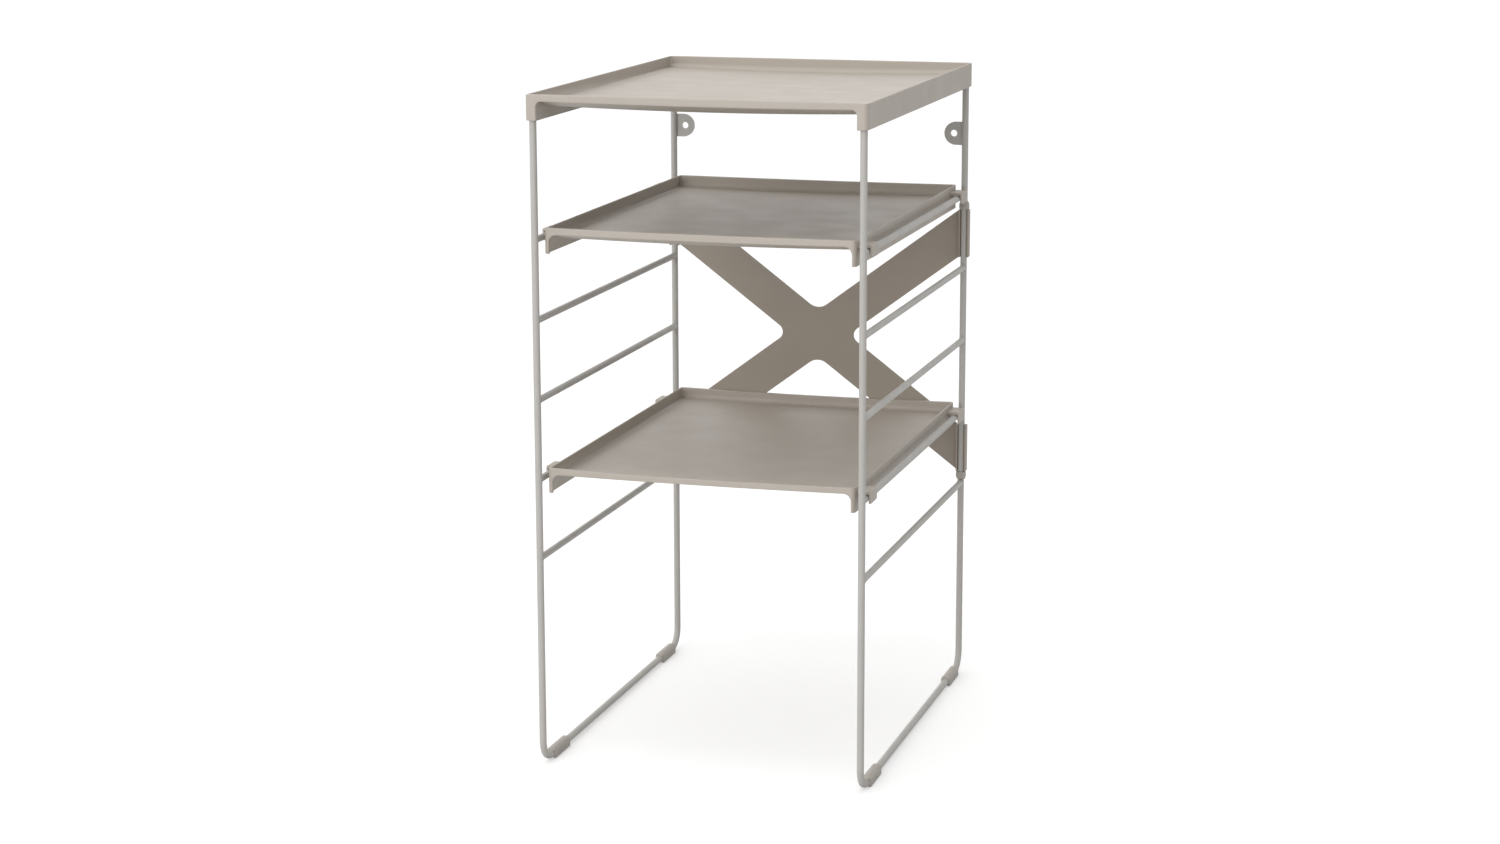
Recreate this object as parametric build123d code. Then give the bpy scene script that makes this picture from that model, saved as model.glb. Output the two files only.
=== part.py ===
from build123d import *
import os

# Open tray rack: two bent-rod side frames, three moulded trays, a moulded cross brace,
# stop collars, wall tabs and foot clips. Millimetres. +Z up, front towards -Y.
# The origin is the middle of the footprint, at floor level.

# ---- Driving dimensions -------------------------------------------------------------
rack_height = 600.0        # floor to the rim of the top tray
rack_width = 302.4         # outside of the top tray
rack_depth = 406.0         # outside of the top tray, front to back
frame_spacing = 292.4      # between the rod centres of the left and right frames
post_spacing = 394.0       # between the centres of a front and a rear post
rod_d = 6.2                # coated rod of the frames
rung_d = 6.0               # coated rod of the rungs
rung_top_z = 474.2         # centre of the highest rung
rung_pitch = 70.8
rungs_per_side = 5
middle_rung = 0            # rung, counted from the top, that carries the middle tray
lower_rung = 3             # rung that carries the lower tray

# ---- Side frames --------------------------------------------------------------------
rod_r = rod_d / 2
rung_r = rung_d / 2
post_x = frame_spacing / 2
post_y = post_spacing / 2
floor_rail_z = 4.4
floor_bend_r = 18.0
top_bend_r = 9.0

# ---- Trays --------------------------------------------------------------------------
tray_depth = 10.0          # rim to tray floor
floor_t = 1.6
skirt_height = 22.2        # rim to the bottom of the side skirts
wall_t = 1.8
lip_height = 5.8           # front and rear lip, measured down from the rim
lip_t = 4.4
ramp_len = 29.0            # front face to the foot of the ramp behind the front lip
rear_bend_r = 4.0          # between the floor and the rear wall
corner_r = 4.0
rim_r = 0.8
lip_r = 1.2
top_corner_r = 4.6         # inner corner between a lip and a skirt of the top tray
shelf_corner_r = 6.6       # the same on a shelf tray
inner_edge_r = 0.5         # rim's inner edge and the bottom edges of the skirts
run_gap = 0.3              # air between a tray and the rods it rests on
beyond = 1.0               # how far a cut passes the face it starts from

top_rim_z = rack_height
channel_wall_t = 1.6
channel_inner_x = 141.3    # inner face of the top tray's side channels
channel_end_t = 2.6
top_rail_z = top_rim_z - tray_depth - floor_t - run_gap - rod_r

shelf_width = 278.4        # middle and lower tray, outside of the skirts
shelf_depth = 386.6
shelf_leg_w = 4.2          # width of the front edge of a skirt
shelf_leg_t = 3.0
plate_below_rim = 6.8      # rim to the underside of a hook plate, which rests on the rung
rim_above_rung = rung_r + run_gap + plate_below_rim
left_hook_span = (145.5, 165.0)   # near and far end of a hook, from the tray's middle
right_hook_span = (163.0, 187.0)
hook_plate_t = 2.5
hook_leg_t = 1.6
hook_drop = 15.4           # rim to the bottom of a hook
hook_root = 1.0            # how far a hook's plate runs into the skirt
hook_top_r = 1.6
hook_end_r = 3.0
hook_edge_r = 0.5

# ---- Cross brace --------------------------------------------------------------------
brace_z = 331.1            # where the arms cross
brace_rise = 105.6         # from the crossing up to the middle of a clip channel
arm_height = 46.0          # vertical width of an arm, and the length of a clip channel
brace_t = 2.0
brace_gap = 0.4            # air between the sheet and the posts
brace_front_y = post_y + rod_r + brace_gap
brace_edge_r = 0.6
clip_wall_t = 1.7
clip_inner_x = 141.3
clip_outer_x = 151.1
clip_reach = 6.4           # how far the channel walls come forward of the sheet
v_notch_r = 14.0
side_notch_r = 8.0

# ---- Small parts --------------------------------------------------------------------
collar_len = 7.4
collar_near_r = 4.6        # end beside the clip channel
collar_big_r = 5.0
collar_big_at = 3.0        # from the near end to the widest place
collar_far_r = 3.9
collar_slot_w = 4.2
collar_gap = 0.6           # air between a collar and the clip channel
clip_bore_gap = 0.05       # air between a snapped-on plastic part and its rod

tab_hole_x = 134.9
tab_z = 532.7
tab_tip_x = 125.6
tab_round_r = 11.1
tab_hole_r = 3.2
tab_t = 2.0
tab_inset = 0.2            # the tab's back is this far inside the back of the post
tab_back_y = post_y + rod_r - tab_inset
tab_root_x = 144.8

foot_len = 40.0
foot_mid_y = 157.5
foot_w = 9.4
foot_h = 9.8
foot_top_flat = 1.2        # width left flat between the two rounded top edges
foot_slot_w = 4.0
foot_end_bevel = 2.2
foot_low_bevel = 0.8


def block(x_range, y_range, z_range):
    """A box between two corners."""
    size = [high - low for low, high in (x_range, y_range, z_range)]
    middle = [(high + low) / 2 for low, high in (x_range, y_range, z_range)]
    return Pos(*middle) * Box(*size)


def rung_z(index):
    return rung_top_z - index * rung_pitch


# ---- Frames -------------------------------------------------------------------------
def make_hoop(x):
    """One closed loop of rod: front post, floor rail, rear post and top rail."""
    corners = [
        (x, -post_y, floor_rail_z),
        (x, post_y, floor_rail_z),
        (x, post_y, top_rail_z),
        (x, -post_y, top_rail_z),
    ]
    radii = [floor_bend_r, floor_bend_r, top_bend_r, top_bend_r]
    path = FilletPolyline(*corners, radius=radii, close=True)
    section = Plane(origin=path @ 0, z_dir=path % 0) * Circle(rod_r)
    return sweep(section, path=path)


def make_rung(x, z, hoop):
    """A straight rod between the posts, its ends coped to sit against them."""
    rod = Pos(x, 0, z) * Rot(90, 0, 0) * Cylinder(rung_r, post_spacing)
    return rod - hoop


def make_wall_tab(side, hoop):
    """A D-shaped plate with one screw hole, welded to the inside of a rear post."""
    round_x = tab_tip_x + tab_round_r
    round_end = Pos(round_x, tab_z) * Circle(tab_round_r)
    root = Pos((round_x + tab_root_x) / 2, tab_z) * Rectangle(tab_root_x - round_x, 2 * tab_round_r)
    beyond_root = Pos(tab_root_x + tab_round_r, tab_z) * Rectangle(2 * tab_round_r, 3 * tab_round_r)
    outline = round_end + root - beyond_root
    outline -= Pos(tab_hole_x, tab_z) * Circle(tab_hole_r)
    plate = extrude(Plane(origin=(0, tab_back_y, 0), x_dir=(1, 0, 0), z_dir=(0, -1, 0)) * outline, tab_t)
    if side < 0:
        plate = mirror(plate, about=Plane.YZ)
    return plate - hoop


# ---- Trays --------------------------------------------------------------------------
def side_section(points, bend, bend_r):
    """A face in the YZ plane through (y, z) points, with the corner at bend rounded."""
    face = make_face(Polyline(*points, close=True))
    corner = face.vertices().sort_by_distance((*bend, 0))[0]
    return Plane.YZ * fillet(corner, bend_r)


def make_pan(half_x, half_y, rim_z, inner_x, leg_w, leg_t, arch_r):
    """A shallow tray with side skirts, a ramp up to its front lip and an open front and rear."""
    skirt_z = rim_z - skirt_height
    floor_z = rim_z - tray_depth
    under_z = floor_z - floor_t
    lip_z = rim_z - lip_height
    wall_y = half_y - lip_t
    relief_y = wall_y + floor_t
    ramp_y = ramp_len - half_y
    ramp_slope = (lip_z - under_z) / (ramp_y + relief_y)
    ramp_top_z = lip_z + floor_t * (1 - ramp_slope)

    pan = block((-half_x, half_x), (-half_y, half_y), (skirt_z, rim_z))
    pan = fillet(pan.edges().filter_by(Axis.Z), corner_r)
    pan = fillet(pan.faces().sort_by(Axis.Z)[-1].edges(), rim_r)

    recess_x = half_x - wall_t
    rear_foot = (wall_y, floor_z)
    above = [
        (wall_y, rim_z + beyond), rear_foot, (ramp_y, floor_z),
        (-wall_y, ramp_top_z), (-wall_y, rim_z + beyond),
    ]
    round_block = block((-recess_x, recess_x), (-wall_y, wall_y), (under_z, rim_z + beyond))
    round_block = fillet(round_block.edges().filter_by(Axis.Z), corner_r - wall_t)
    pan -= extrude(side_section(above, rear_foot, rear_bend_r), recess_x, both=True) & round_block

    far_y = half_y + beyond
    low_z = skirt_z - beyond
    rear_heel = (relief_y, under_z)
    below = [
        (-far_y, low_z), (-far_y, lip_z), (-relief_y, lip_z), (ramp_y, under_z),
        rear_heel, (relief_y, lip_z), (far_y, lip_z), (far_y, low_z),
    ]
    below_face = side_section(below, rear_heel, rear_bend_r + floor_t)
    leg_x = half_x - leg_w
    leg_y = half_y - leg_t
    arch = block((-leg_x, leg_x), (-far_y, far_y), (low_z, lip_z))
    arch = fillet(arch.edges().filter_by(Axis.Y).group_by(Axis.Z)[-1], arch_r)
    pan -= extrude(below_face, leg_x, both=True) & arch
    between_legs = block((-inner_x, inner_x), (-leg_y, leg_y), (low_z, lip_z))
    pan -= extrude(below_face, inner_x, both=True) & between_legs
    return soften_edges(pan, half_y, lip_z, recess_x, wall_y)


def flat_edges(solid, z):
    """The edges that lie in the level plane z."""
    near = 0.01
    return [
        edge for edge in solid.edges()
        if abs(edge.bounding_box().min.Z - z) < near and abs(edge.bounding_box().max.Z - z) < near
    ]


def soften_edges(pan, half_y, lip_z, recess_x, wall_y):
    """Round the lower outer edge of each lip and the inner edge of the rim."""
    near = 0.01
    lip_edges = [edge for edge in flat_edges(pan, lip_z) if abs(abs(edge.center().Y) - half_y) < near]
    pan = fillet(lip_edges, lip_r)
    rim_z = lip_z + lip_height
    inner_rim = [
        edge for edge in flat_edges(pan, rim_z)
        if abs(edge.center().X) < recess_x + near and abs(edge.center().Y) < wall_y + near
    ]
    return fillet(inner_rim, inner_edge_r)


def make_top_tray():
    """The top tray, whose side channels drop over the frames' top rails."""
    half_x = rack_width / 2
    half_y = rack_depth / 2
    channel_w = half_x - channel_inner_x
    tray = make_pan(
        half_x, half_y, top_rim_z, channel_inner_x, channel_w, channel_end_t, top_corner_r
    )
    for side in (-1, 1):
        x_range = sorted((side * (channel_inner_x + channel_wall_t), side * (half_x - channel_wall_t)))
        y_range = (channel_end_t - half_y, half_y - channel_end_t)
        skirt_z = top_rim_z - skirt_height
        tray -= block(x_range, y_range, (skirt_z - beyond, top_rim_z - tray_depth - floor_t))
    return fillet(flat_edges(tray, top_rim_z - skirt_height), inner_edge_r)


def make_hook(side, span, rim_z):
    """A plate out over the rung and a leg down its far side, on the right or left of a shelf tray."""
    inner_x = shelf_width / 2 - hook_root
    outer_x = post_x + rung_r + run_gap + hook_leg_t
    plate_z = rim_z - plate_below_rim
    top_z = plate_z + hook_plate_t
    hook = block((inner_x, outer_x), span, (plate_z, top_z))
    hook += block((outer_x - hook_leg_t, outer_x), span, (rim_z - hook_drop, top_z))
    along = hook.edges().filter_by(Axis.Y)
    outer_top = along.group_by(Axis.Z)[-1].sort_by(Axis.X)[-1]
    hook = fillet(outer_top, hook_top_r)
    low_corners = hook.edges().filter_by(Axis.X).group_by(Axis.Z)[0]
    hook = fillet(low_corners, hook_end_r)
    outer_face = hook.faces().sort_by(Axis.X)[-1]
    hook = fillet(outer_face.edges(), hook_edge_r)
    if side < 0:
        hook = mirror(hook, about=Plane.YZ)
    return hook


def make_shelf_tray(rim_z):
    """A middle or lower tray with four moulded hooks that drop over a pair of rungs."""
    half_x = shelf_width / 2
    half_y = shelf_depth / 2
    tray = make_pan(
        half_x, half_y, rim_z, half_x - wall_t, shelf_leg_w, shelf_leg_t, shelf_corner_r
    )
    tray = fillet(flat_edges(tray, rim_z - skirt_height), inner_edge_r)
    for side, span in ((-1, left_hook_span), (1, right_hook_span)):
        hook = make_hook(side, span, rim_z)
        tray += hook
        tray += mirror(hook, about=Plane.XZ)
    return tray


# ---- Cross brace --------------------------------------------------------------------
def make_cross_brace():
    """An X-shaped plate with a clip channel on each of its four ends."""
    half = arm_height / 2
    slope = brace_rise / clip_inner_x
    notch_x = half / slope
    end_z = brace_z + brace_rise
    quarter = [
        (0, brace_z + half),
        (clip_inner_x, end_z + half),
        (clip_outer_x, end_z + half),
        (clip_outer_x, end_z - half),
        (clip_inner_x, end_z - half),
        (notch_x, brace_z),
    ]
    lower_right = [(x, 2 * brace_z - z) for x, z in reversed(quarter[:-1])]
    right = quarter + lower_right
    left = [(-x, z) for x, z in reversed(right[1:-1])]
    sheet_plane = Plane(origin=(0, brace_front_y + brace_t, 0), x_dir=(1, 0, 0), z_dir=(0, -1, 0))
    plate = extrude(sheet_plane * make_face(Polyline(*right, *left, close=True)), brace_t)

    upright = plate.edges().filter_by(Axis.Y)
    v_notches = [edge for edge in upright if abs(edge.center().X) < 0.1]
    plate = fillet(v_notches, v_notch_r)
    upright = plate.edges().filter_by(Axis.Y)
    side_notches = [edge for edge in upright if abs(abs(edge.center().X) - notch_x) < 0.1]
    plate = fillet(side_notches, side_notch_r)

    for side in (-1, 1):
        for level in (-1, 1):
            z_mid = brace_z + level * brace_rise
            z_range = (z_mid - half, z_mid + half)
            y_range = (brace_front_y - clip_reach, brace_front_y + brace_t)
            for wall_x in (clip_inner_x, clip_outer_x - clip_wall_t):
                x_range = sorted((side * wall_x, side * (wall_x + clip_wall_t)))
                plate += block(x_range, y_range, z_range)
    return fillet(plate.edges(), brace_edge_r)


# ---- Small parts --------------------------------------------------------------------
def make_collar(side, level):
    """A split barrel on a rear post that keeps a clip channel from sliding along it."""
    bore_r = rod_r + clip_bore_gap
    barrel = ThreePointArc((collar_near_r, 0), (collar_big_r, collar_big_at), (collar_far_r, collar_len))
    far_end = (collar_far_r, collar_len)
    ends_and_bore = Polyline(far_end, (bore_r, collar_len), (bore_r, 0), (collar_near_r, 0))
    collar = revolve(Plane.XZ * make_face(barrel + ends_and_bore), axis=Axis.Z)
    slot = (-collar_slot_w / 2, collar_slot_w / 2)
    collar -= block(slot, (0, 2 * collar_big_r), (-beyond, collar_len + beyond))
    if level < 0:
        collar = mirror(collar, about=Plane.XY)
    channel_end = brace_z + level * (brace_rise + arm_height / 2 + collar_gap)
    return Pos(side * post_x, post_y, channel_end) * collar


def make_foot(side, end):
    """A plastic clip that grips the floor rail and carries the rack."""
    mid_height = foot_h / 2
    section = Pos(0, mid_height) * Rectangle(foot_w, foot_h)
    section = fillet(section.vertices().group_by(Axis.Y)[-1], (foot_w - foot_top_flat) / 2)
    section = chamfer(section.vertices().group_by(Axis.Y)[0], foot_low_bevel)
    side_view = Pos(0, mid_height) * Rectangle(foot_len, foot_h)
    side_view = chamfer(side_view.vertices(), foot_end_bevel)
    plan = chamfer(Rectangle(foot_w, foot_len).vertices(), foot_end_bevel)
    body = extrude(Plane.XZ * section, foot_len / 2, both=True)
    body &= extrude(Plane.YZ * side_view, foot_w / 2, both=True)
    body &= extrude(plan, foot_h)
    bore_r = rod_r + clip_bore_gap
    body -= Pos(0, 0, floor_rail_z) * Rot(90, 0, 0) * Cylinder(bore_r, foot_len + 2 * beyond)
    slot = (-foot_slot_w / 2, foot_slot_w / 2)
    body -= block(slot, (-foot_len, foot_len), (-beyond, floor_rail_z))
    return Pos(side * post_x, end * foot_mid_y, 0) * body


# ---- Assembly -----------------------------------------------------------------------
def make_parts():
    parts = {}
    for name, side in (("left", -1), ("right", 1)):
        x = side * post_x
        hoop = make_hoop(x)
        parts[f"{name}_hoop"] = hoop
        for index in range(rungs_per_side):
            parts[f"{name}_rung_{index + 1}"] = make_rung(x, rung_z(index), hoop)
        parts[f"{name}_wall_tab"] = make_wall_tab(side, hoop)
        for level_name, level in (("upper", 1), ("lower", -1)):
            parts[f"{name}_{level_name}_collar"] = make_collar(side, level)
        for end_name, end in (("front", -1), ("rear", 1)):
            parts[f"{name}_{end_name}_foot"] = make_foot(side, end)
    parts["cross_brace"] = make_cross_brace()
    parts["top_tray"] = make_top_tray()
    parts["middle_tray"] = make_shelf_tray(rung_z(middle_rung) + rim_above_rung)
    parts["lower_tray"] = make_shelf_tray(rung_z(lower_rung) + rim_above_rung)
    return parts


os.makedirs("parts", exist_ok=True)
for node, solid in make_parts().items():
    export_step(solid, f"parts/{node}.step")
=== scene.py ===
import math
import random

import bmesh
import bpy
from mathutils import Matrix, Vector


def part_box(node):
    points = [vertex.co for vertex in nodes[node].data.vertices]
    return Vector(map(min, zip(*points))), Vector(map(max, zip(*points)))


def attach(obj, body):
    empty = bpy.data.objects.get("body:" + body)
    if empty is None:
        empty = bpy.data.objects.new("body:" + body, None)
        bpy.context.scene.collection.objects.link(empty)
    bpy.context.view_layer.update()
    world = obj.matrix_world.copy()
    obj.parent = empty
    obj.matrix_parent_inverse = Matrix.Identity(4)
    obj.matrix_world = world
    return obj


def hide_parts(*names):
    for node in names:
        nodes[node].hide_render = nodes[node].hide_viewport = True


# Looks for the tray rack: moulded trays with their slight sag, weld beads on the side
# frames, materials, studio light and camera. Metres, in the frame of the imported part.

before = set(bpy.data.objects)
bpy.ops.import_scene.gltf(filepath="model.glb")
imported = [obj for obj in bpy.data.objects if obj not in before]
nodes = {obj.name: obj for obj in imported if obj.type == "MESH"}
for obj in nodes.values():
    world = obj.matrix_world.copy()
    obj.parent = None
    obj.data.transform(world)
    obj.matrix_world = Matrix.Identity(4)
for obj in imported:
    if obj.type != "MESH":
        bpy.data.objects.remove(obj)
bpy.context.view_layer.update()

MM = 0.001
random.seed(7)

# ---- Colours (linear) and finishes --------------------------------------------------
PLASTIC_COLOUR = (0.420, 0.378, 0.328)
# The brace is the same plastic as the trays; its darker, browner colour is painted shade for where it
# sits under the trays.
BRACE_SHADED_COLOUR = (0.340, 0.296, 0.245)
SMALL_PART_COLOUR = (0.390, 0.362, 0.322)
COAT_COLOUR = (0.440, 0.425, 0.400)
FLOOR_COLOUR = (0.70, 0.70, 0.70)
FLOOR_ROUGHNESS = 0.8
FLOOR_GLOW = 0.36              # lifts the floor towards white for the camera, without lighting the rack
NOISE_LOW = 0.3                # a noise value mostly stays between these two
NOISE_HIGH = 0.7

# ---- Sag of each tray at mid-span: at the rim and at the floor (metres) ---------------
# Chosen for the band that shows under each front lip, not worked out from a load.
TRAY_SAG = {
    "top_tray": (0.0, 2.6 * MM),
    "middle_tray": (0.6 * MM, 2.2 * MM),
    "lower_tray": (1.5 * MM, 0.8 * MM),
}
SAG_DEPTH = 11.6 * MM          # rim to the underside of a tray's floor
SLICE = 10 * MM                # spacing of the cuts that let a tray bend
MERGE_DISTANCE = 0.01 * MM     # corners closer than this are one corner
FLAT_ANGLE = math.radians(0.5)     # faces that meet at less than this are one face
SHARP_ANGLE = math.radians(40)     # edges that turn more than this are shaded sharp

# ---- Weld beads ---------------------------------------------------------------------
BEAD_RADIUS = 0.65 * MM
BEAD_INSET = 0.93              # the bead's width on a rung, as a part of the rung's own
BEAD_STEPS = 36
BEAD_SIDES = 10
TAB_BEAD_STEPS = 14
BEAD_WOBBLE = 0.12             # how much the radius varies, as a part of it
BEAD_END = 0.3                 # radius at an open bead's ends, as a part of the rest

# ---- Camera and light ---------------------------------------------------------------
CAMERA_PLACE = (0.7506, -2.5873, 0.8462)
CAMERA_TURN = 16.4             # degrees about Z
CAMERA_TILT = 11.82            # degrees below level
CAMERA_ROLL = -0.002           # radians
LENS = 71.44                   # millimetres
SENSOR_WIDTH = 36              # millimetres
VIEW_END = 100                 # metres
FLOOR_HALF = 30.0              # metres
LIGHT_LEVEL = 0.88                   # mean strength of the surroundings
LIGHT_SLOPE = (-0.34, 0.10, 0.06)    # how the strength grows along each axis
LIGHTS = {                           # place, point aimed at, width and power in watts
    "front_light": ((-0.8, -3.4, 1.45), (0.0, 0.0, 0.40), 2.0, 40.0),
    "top_light": ((0.0, -0.5, 2.7), (0.0, 0.0, 0.60), 1.0, 11.0),
}


# ---- Materials ----------------------------------------------------------------------
def add(tree, kind, **settings):
    node = tree.nodes.new(kind)
    for name, value in settings.items():
        setattr(node, name, value)
    return node


def noise(tree, place, scale, detail, roughness=0.5):
    """A noise texture on the given coordinates."""
    node = add(tree, "ShaderNodeTexNoise")
    node.inputs["Scale"].default_value = scale
    node.inputs["Detail"].default_value = detail
    node.inputs["Roughness"].default_value = roughness
    tree.links.new(place, node.inputs["Vector"])
    return node


def spread(tree, value, low, high):
    """Stretch a noise value, which stays near one half, to run from low to high."""
    node = add(tree, "ShaderNodeMapRange", clamp=True)
    node.inputs["From Min"].default_value = NOISE_LOW
    node.inputs["From Max"].default_value = NOISE_HIGH
    node.inputs["To Min"].default_value = low
    node.inputs["To Max"].default_value = high
    tree.links.new(value, node.inputs["Value"])
    return node.outputs["Result"]


def surface(name, colour, finish):
    """A fine-grained surface: colour flecks, cloudy tone, uneven gloss and two sizes of bump."""
    material = bpy.data.materials.new(name)
    material.use_nodes = True
    tree = material.node_tree
    shader = tree.nodes["Principled BSDF"]
    place = add(tree, "ShaderNodeTexCoord").outputs["Object"]

    fleck = noise(tree, place, finish["fleck_scale"], 2).outputs["Fac"]
    cloud = noise(tree, place, finish["cloud_scale"], 3).outputs["Fac"]
    tone = add(tree, "ShaderNodeMath", operation="MULTIPLY")
    tree.links.new(spread(tree, fleck, 1 - finish["fleck"], 1 + finish["fleck"]), tone.inputs[0])
    tree.links.new(spread(tree, cloud, 1 - finish["cloud"], 1 + finish["cloud"]), tone.inputs[1])
    tinted = add(tree, "ShaderNodeVectorMath", operation="SCALE")
    tinted.inputs[0].default_value = colour
    tree.links.new(tone.outputs["Value"], tinted.inputs["Scale"])
    tree.links.new(tinted.outputs["Vector"], shader.inputs["Base Color"])

    patch = noise(tree, place, finish["patch_scale"], 2).outputs["Fac"]
    rough_low, rough_high = finish["roughness"]
    tree.links.new(spread(tree, patch, rough_low, rough_high), shader.inputs["Roughness"])

    grain = noise(tree, place, finish["grain_scale"], 2, 0.6).outputs["Fac"]
    fine = add(tree, "ShaderNodeBump")
    fine.inputs["Strength"].default_value = finish["grain_strength"]
    fine.inputs["Distance"].default_value = finish["grain_depth"]
    tree.links.new(grain, fine.inputs["Height"])
    ripple = noise(tree, place, finish["ripple_scale"], 1).outputs["Fac"]
    broad = add(tree, "ShaderNodeBump")
    broad.inputs["Strength"].default_value = finish["ripple_strength"]
    broad.inputs["Distance"].default_value = finish["ripple_depth"]
    tree.links.new(ripple, broad.inputs["Height"])
    tree.links.new(fine.outputs["Normal"], broad.inputs["Normal"])
    tree.links.new(broad.outputs["Normal"], shader.inputs["Normal"])

    shader.inputs["Specular IOR Level"].default_value = finish["specular"]
    return material


MOULDED = {
    "fleck_scale": 2600, "fleck": 0.035, "cloud_scale": 14, "cloud": 0.02,
    "patch_scale": 30, "roughness": (0.40, 0.50), "specular": 0.5,
    "grain_scale": 2200, "grain_strength": 0.35, "grain_depth": 0.00006,
    "ripple_scale": 60, "ripple_strength": 0.08, "ripple_depth": 0.0004,
}
POWDER_COAT = {
    "fleck_scale": 1800, "fleck": 0.05, "cloud_scale": 25, "cloud": 0.025,
    "patch_scale": 45, "roughness": (0.38, 0.50), "specular": 0.5,
    "grain_scale": 1300, "grain_strength": 0.5, "grain_depth": 0.00008,
    "ripple_scale": 260, "ripple_strength": 0.15, "ripple_depth": 0.00025,
}

tray_plastic = surface("tray_plastic", PLASTIC_COLOUR, MOULDED)
# The brace's surface is the tray plastic painted darker: painted shade.
brace_plastic = surface("brace_plastic", BRACE_SHADED_COLOUR, MOULDED)
small_plastic = surface("small_part_plastic", SMALL_PART_COLOUR, MOULDED)
frame_coat = surface("frame_coat", COAT_COLOUR, POWDER_COAT)
SLOT_MATERIAL = {
    "tray_plastic": tray_plastic,
    "brace_plastic": brace_plastic,
    "collar_plastic": small_plastic,
    "foot_plastic": small_plastic,
    "frame_coat": frame_coat,
}


def slot_of(node_name):
    if node_name.endswith("_tray"):
        return "tray_plastic"
    if node_name == "cross_brace":
        return "brace_plastic"
    if node_name.endswith("_collar"):
        return "collar_plastic"
    if node_name.endswith("_foot"):
        return "foot_plastic"
    return "frame_coat"


def dress(piece, material):
    piece.data.materials.clear()
    piece.data.materials.append(material)


for node_name, node in nodes.items():
    dress(node, SLOT_MATERIAL[slot_of(node_name)])


# ---- Trays, which sag a little between the side frames ------------------------------
def sagging_tray(node_name):
    """The tray's own mesh, sliced across its width and bent down in the middle."""
    low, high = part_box(node_name)
    half_x = (high[0] - low[0]) / 2
    rim_sag, floor_sag = TRAY_SAG[node_name]
    shape = bmesh.new()
    shape.from_mesh(nodes[node_name].data)
    bmesh.ops.remove_doubles(shape, verts=shape.verts, dist=MERGE_DISTANCE)
    bmesh.ops.dissolve_limit(
        shape, angle_limit=FLAT_ANGLE, verts=shape.verts, edges=shape.edges, delimit=set()
    )
    slices = round(2 * half_x / SLICE)
    for index in range(1, slices):
        x = low[0] + index * 2 * half_x / slices
        everything = shape.verts[:] + shape.edges[:] + shape.faces[:]
        bmesh.ops.bisect_plane(shape, geom=everything, plane_co=(x, 0, 0), plane_no=(1, 0, 0))
    for vert in shape.verts:
        across = max(0.0, 1 - (vert.co.x / half_x) ** 2)
        depth = min(1.0, (high[2] - vert.co.z) / SAG_DEPTH)
        vert.co.z -= across * (rim_sag + (floor_sag - rim_sag) * depth)
    mesh = bpy.data.meshes.new(node_name + "_shell")
    shape.to_mesh(mesh)
    shape.free()
    mesh.shade_smooth()
    mesh.set_sharp_from_angle(angle=SHARP_ANGLE)
    piece = bpy.data.objects.new(node_name + "_shell", mesh)
    bpy.context.scene.collection.objects.link(piece)
    even = piece.modifiers.new("even_normals", "WEIGHTED_NORMAL")
    even.keep_sharp = True
    dress(piece, tray_plastic)
    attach(piece, node_name)
    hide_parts(node_name)


for tray_name in TRAY_SAG:
    sagging_tray(tray_name)


# ---- Weld beads where the rungs and the wall tabs meet the posts ---------------------
def add_bead(shape, path, closed):
    """A lumpy tube along a path, added to the mesh."""
    count = len(path)
    rings = []
    for index, point in enumerate(path):
        after = path[(index + 1) % count] if closed else path[min(index + 1, count - 1)]
        before = path[index - 1] if closed else path[max(index - 1, 0)]
        along = (after - before).normalized()
        side = along.orthogonal().normalized()
        other = along.cross(side)
        radius = BEAD_RADIUS * (1 + BEAD_WOBBLE * random.uniform(-1, 1))
        if not closed and index in (0, count - 1):
            radius *= BEAD_END
        ring = []
        for step in range(BEAD_SIDES):
            angle = 2 * math.pi * step / BEAD_SIDES
            offset = side * math.cos(angle) + other * math.sin(angle)
            ring.append(shape.verts.new(point + offset * radius))
        rings.append(ring)
    joins = count if closed else count - 1
    for index in range(joins):
        join_rings(shape, rings[index], rings[(index + 1) % count])
    if not closed:
        shape.faces.new(rings[0][::-1])
        shape.faces.new(rings[-1])


def join_rings(shape, first, second):
    """Faces between two rings, turned so that their nearest corners meet."""
    start = min(range(BEAD_SIDES), key=lambda k: (second[k].co - first[0].co).length)
    turned = second[start:] + second[:start]
    for step in range(BEAD_SIDES):
        following = (step + 1) % BEAD_SIDES
        shape.faces.new((first[step], first[following], turned[following], turned[step]))


def rung_bead_path(x, z, post_y, end, post_radius, rung_radius):
    """Where a level rung's surface meets the upright post."""
    path = []
    for step in range(BEAD_STEPS):
        angle = 2 * math.pi * step / BEAD_STEPS
        off_x = BEAD_INSET * rung_radius * math.cos(angle)
        reach = math.sqrt(post_radius ** 2 - off_x ** 2)
        path.append(Vector((x + off_x, end * (post_y - reach), z + rung_radius * math.sin(angle))))
    return path


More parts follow.
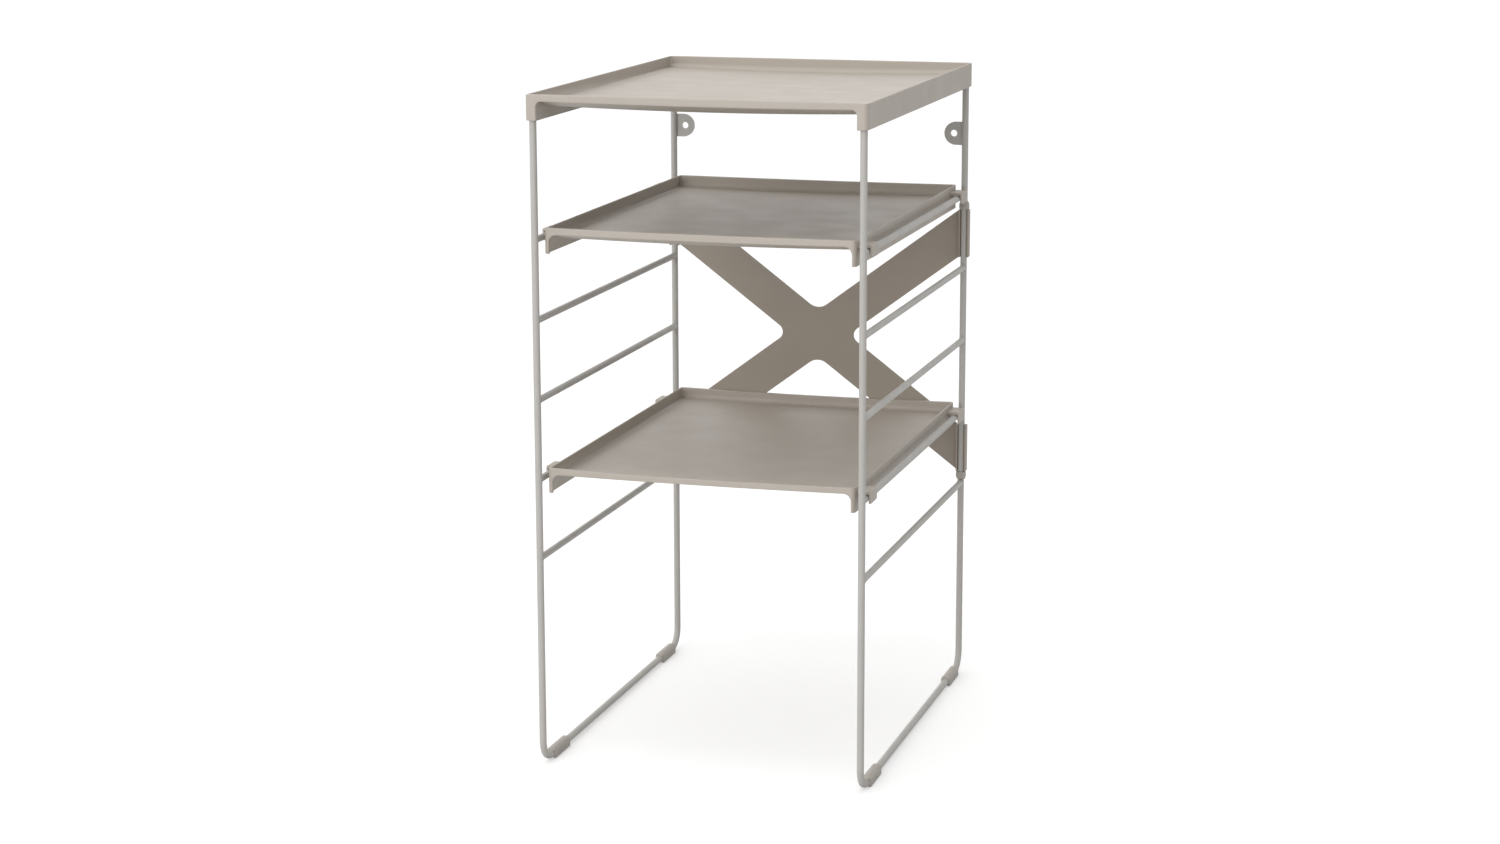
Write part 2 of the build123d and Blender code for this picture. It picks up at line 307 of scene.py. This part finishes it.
def weld_beads(side):
    """All the beads of one side frame, as one piece."""
    hoop_low, hoop_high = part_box(side + "_hoop")
    x = (hoop_low[0] + hoop_high[0]) / 2
    post_radius = (hoop_high[0] - hoop_low[0]) / 2
    post_y = hoop_high[1] - post_radius
    shape = bmesh.new()
    rungs = sorted(name for name in nodes if name.startswith(side + "_rung_"))
    for name in rungs:
        low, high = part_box(name)
        z = (low[2] + high[2]) / 2
        rung_radius = (high[2] - low[2]) / 2
        for end in (-1, 1):
            path = rung_bead_path(x, z, post_y, end, post_radius, rung_radius)
            add_bead(shape, path, True)
    tab_low, tab_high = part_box(side + "_wall_tab")
    inward = 1 if x < 0 else -1
    off_y = tab_high[1] - post_y
    weld_x = x + inward * math.sqrt(post_radius ** 2 - off_y ** 2)
    rise = (tab_high[2] - tab_low[2]) / TAB_BEAD_STEPS
    heights = [tab_low[2] + rise * (step + 0.5) for step in range(TAB_BEAD_STEPS)]
    weld_y = tab_high[1] - BEAD_RADIUS / 2
    add_bead(shape, [Vector((weld_x, weld_y, height)) for height in heights], False)
    bmesh.ops.recalc_face_normals(shape, faces=shape.faces)
    mesh = bpy.data.meshes.new(side + "_welds")
    shape.to_mesh(mesh)
    shape.free()
    mesh.shade_smooth()
    piece = bpy.data.objects.new(side + "_welds", mesh)
    bpy.context.scene.collection.objects.link(piece)
    dress(piece, frame_coat)
    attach(piece, "root")


for frame_side in ("left", "right"):
    weld_beads(frame_side)


# ---- Floor, camera and light --------------------------------------------------------
floor_mesh = bpy.data.meshes.new("floor")
corners = [(-1, -1, 0), (1, -1, 0), (1, 1, 0), (-1, 1, 0)]
floor_mesh.from_pydata([Vector(corner) * FLOOR_HALF for corner in corners], [], [(0, 1, 2, 3)])
floor = bpy.data.objects.new("floor", floor_mesh)
bpy.context.scene.collection.objects.link(floor)
floor_paper = bpy.data.materials.new("floor_paper")
floor_paper.use_nodes = True
paper = floor_paper.node_tree.nodes["Principled BSDF"]
paper.inputs["Base Color"].default_value = (*FLOOR_COLOUR, 1)
paper.inputs["Roughness"].default_value = FLOOR_ROUGHNESS
paper.inputs["Emission Color"].default_value = (1, 1, 1, 1)
light_path = add(floor_paper.node_tree, "ShaderNodeLightPath")
glow = add(floor_paper.node_tree, "ShaderNodeMath", operation="MULTIPLY")
glow.inputs[1].default_value = FLOOR_GLOW
floor_paper.node_tree.links.new(light_path.outputs["Is Camera Ray"], glow.inputs[0])
floor_paper.node_tree.links.new(glow.outputs["Value"], paper.inputs["Emission Strength"])
dress(floor, floor_paper)

camera_data = bpy.data.cameras.new("camera")
camera = bpy.data.objects.new("camera", camera_data)
bpy.context.scene.collection.objects.link(camera)
camera_data.sensor_width = SENSOR_WIDTH
camera_data.lens = LENS
camera_data.clip_end = VIEW_END
turn = Matrix.Rotation(math.radians(CAMERA_TURN), 4, "Z")
tilt = Matrix.Rotation(math.radians(90 - CAMERA_TILT), 4, "X")
roll = Matrix.Rotation(CAMERA_ROLL, 4, "Z")
camera.matrix_world = Matrix.Translation(CAMERA_PLACE) @ turn @ tilt @ roll
bpy.context.scene.camera = camera


def studio_world():
    """A white studio that is brighter to the left, and a little brighter overhead and behind."""
    world = bpy.data.worlds.new("studio")
    bpy.context.scene.world = world
    world.use_nodes = True
    tree = world.node_tree
    background = tree.nodes["Background"]
    background.inputs["Color"].default_value = (1, 1, 1, 1)
    direction = add(tree, "ShaderNodeTexCoord").outputs["Generated"]
    towards_light = add(tree, "ShaderNodeVectorMath", operation="DOT_PRODUCT")
    towards_light.inputs[1].default_value = LIGHT_SLOPE
    tree.links.new(direction, towards_light.inputs[0])
    strength = add(tree, "ShaderNodeMath", operation="ADD")
    strength.inputs[1].default_value = LIGHT_LEVEL
    tree.links.new(towards_light.outputs["Value"], strength.inputs[0])
    tree.links.new(strength.outputs["Value"], background.inputs["Strength"])


studio_world()
for light_name, (place, target, width, power) in LIGHTS.items():
    light_data = bpy.data.lights.new(light_name, "AREA")
    light_data.size = width
    light_data.energy = power
    light = bpy.data.objects.new(light_name, light_data)
    bpy.context.scene.collection.objects.link(light)
    light.location = place
    light.rotation_euler = (Vector(target) - Vector(place)).to_track_quat("-Z", "Y").to_euler()

bpy.context.scene.view_settings.view_transform = "Standard"
